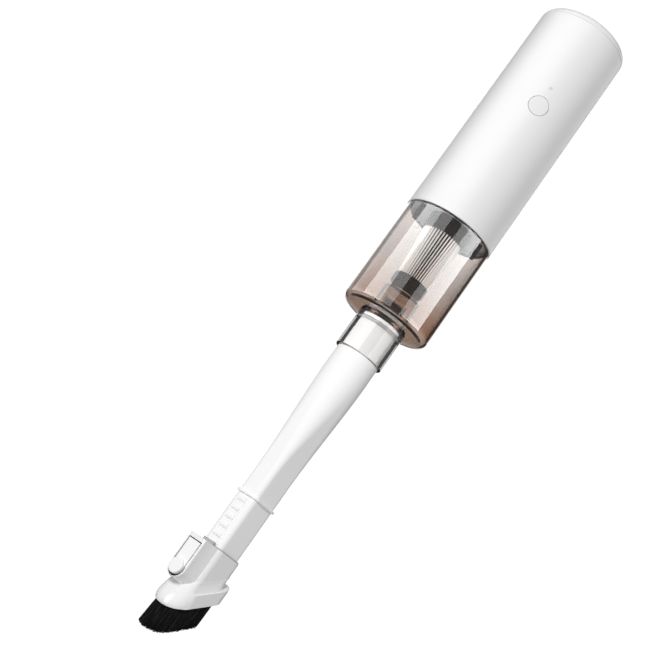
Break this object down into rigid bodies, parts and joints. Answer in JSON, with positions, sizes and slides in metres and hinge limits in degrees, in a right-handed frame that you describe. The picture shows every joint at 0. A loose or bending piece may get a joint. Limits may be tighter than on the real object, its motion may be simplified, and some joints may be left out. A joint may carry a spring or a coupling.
{
  "type": "handheld vacuum cleaner",
  "caption": "Slim cordless handheld vacuum cleaner: white barrel body, smoked dust cup with pleated filter, long crevice nozzle and a sliding brush with a latch button.",
  "frame": {"origin": "centre of the flat rear face that it stands on", "axes": "+Z along the barrel to the nozzle tip, +X towards the ribs and the latch button"},
  "size_m": [0.066, 0.066, 0.4964],
  "materials": {
    "white_shell": "satin",
    "smoked_clear": "gloss",
    "filter_grey": "satin",
    "filter_paper": "matte",
    "black_rubber": "matte",
    "grey_silicone": "matte",
    "bristle_black": "satin",
    "steel": "satin",
    "brass": "satin",
    "core_iron": "matte",
    "copper_wire": "satin",
    "cell_wrap": "satin",
    "dark_plastic": "matte",
    "board_green": "satin",
    "chip_black": "matte",
    "lead_red": "satin",
    "clear_pipe": "gloss",
    "foam_grey": "matte"
  },
  "bodies": {
    "body": {"main_housing": "white_shell", "rear_cover": "white_shell", "rear_cover_screws": "steel", "exhaust_foam": "foam_grey", "battery_cells": "cell_wrap", "battery_contacts": "steel", "battery_holder": "dark_plastic", "control_board": "board_green", "board_components": "chip_black", "power_switch": "chip_black", "light_pipe": "clear_pipe", "charge_board": "board_green", "usb_socket": "steel", "motor_can": "steel", "motor_end_bell": "dark_plastic", "motor_bearings": "brass", "motor_magnets": "core_iron", "fan_diffuser": "dark_plastic", "motor_screws": "steel", "fan_shroud": "dark_plastic", "motor_damper": "black_rubber", "front_frame": "white_shell", "cup_lugs": "filter_grey", "inlet_gasket": "black_rubber", "cup_seal": "black_rubber", "motor_leads": "lead_red", "battery_leads": "lead_red"},
    "rotor": {"motor_shaft": "steel", "rotor_core": "core_iron", "rotor_windings": "copper_wire", "motor_commutator": "copper_wire", "impeller": "dark_plastic"},
    "power_button": {"power_button": "white_shell", "button_spring": "steel"},
    "filter": {"filter_flange": "filter_grey", "filter_seal": "black_rubber", "filter_media": "filter_paper", "filter_core": "filter_grey", "filter_end_cap": "filter_grey"},
    "cup": {"dust_cup": "smoked_clear", "inlet_collar": "smoked_clear", "inlet_duct": "smoked_clear", "flap_pin": "steel"},
    "inlet_flap": {"inlet_flap": "black_rubber"},
    "spigot_ring": {"spigot_seal": "grey_silicone"},
    "nozzle": {"crevice_nozzle": "white_shell"},
    "brush": {"brush_housing": "white_shell", "slot_wiper": "grey_silicone", "latch_liner": "black_rubber", "bristle_carrier": "bristle_black", "bristles": "bristle_black", "latch_pin": "steel", "latch_spring": "steel"},
    "latch": {"latch_button": "white_shell"}
  },
  "joints": [
    {"name": "motor_spin", "type": "hinge", "parent": "body", "child": "rotor", "pos_m": [0, 0, 0.132], "axis": [0, 0, 1], "continuous": true},
    {"name": "power_press", "type": "slide", "parent": "body", "child": "power_button", "axis": [-0.7314, 0.682, 0], "range_m": [0, 0.0012], "stiffness_N_per_m": 800, "deforming": ["button_spring"]},
    {"name": "filter_twist", "type": "hinge", "parent": "body", "child": "filter", "pos_m": [0, 0, 0.172], "axis": [0, 0, 1], "range_deg": [0, 35]},
    {"name": "cup_pull", "type": "slide", "parent": "body", "child": "cup", "axis": [0, 0, 1], "range_m": [0, 0.065]},
    {"name": "inlet_flap_swing", "type": "hinge", "parent": "cup", "child": "inlet_flap", "pos_m": [-0.01112, 0.01037, 0.2456], "axis": [0.682, 0.7314, 0], "range_deg": [0, 45]},
    {"name": "nozzle_twist", "type": "hinge", "parent": "cup", "child": "spigot_ring", "pos_m": [0, 0, 0.257], "axis": [0, 0, 1], "continuous": true},
    {"name": "nozzle_pull", "type": "slide", "parent": "spigot_ring", "child": "nozzle", "axis": [0, 0, 1], "range_m": [0, 0.03]},
    {"name": "brush_slide", "type": "slide", "parent": "nozzle", "child": "brush", "axis": [0, 0, -1], "range_m": [0, 0.035]},
    {"name": "latch_press", "type": "hinge", "parent": "brush", "child": "latch", "pos_m": [0.0195, 0, 0.4475], "axis": [0, -1, 0], "range_deg": [0, 7], "stiffness_Nm_per_rad": 0.4, "deforming": ["latch_spring"]}
  ]
}
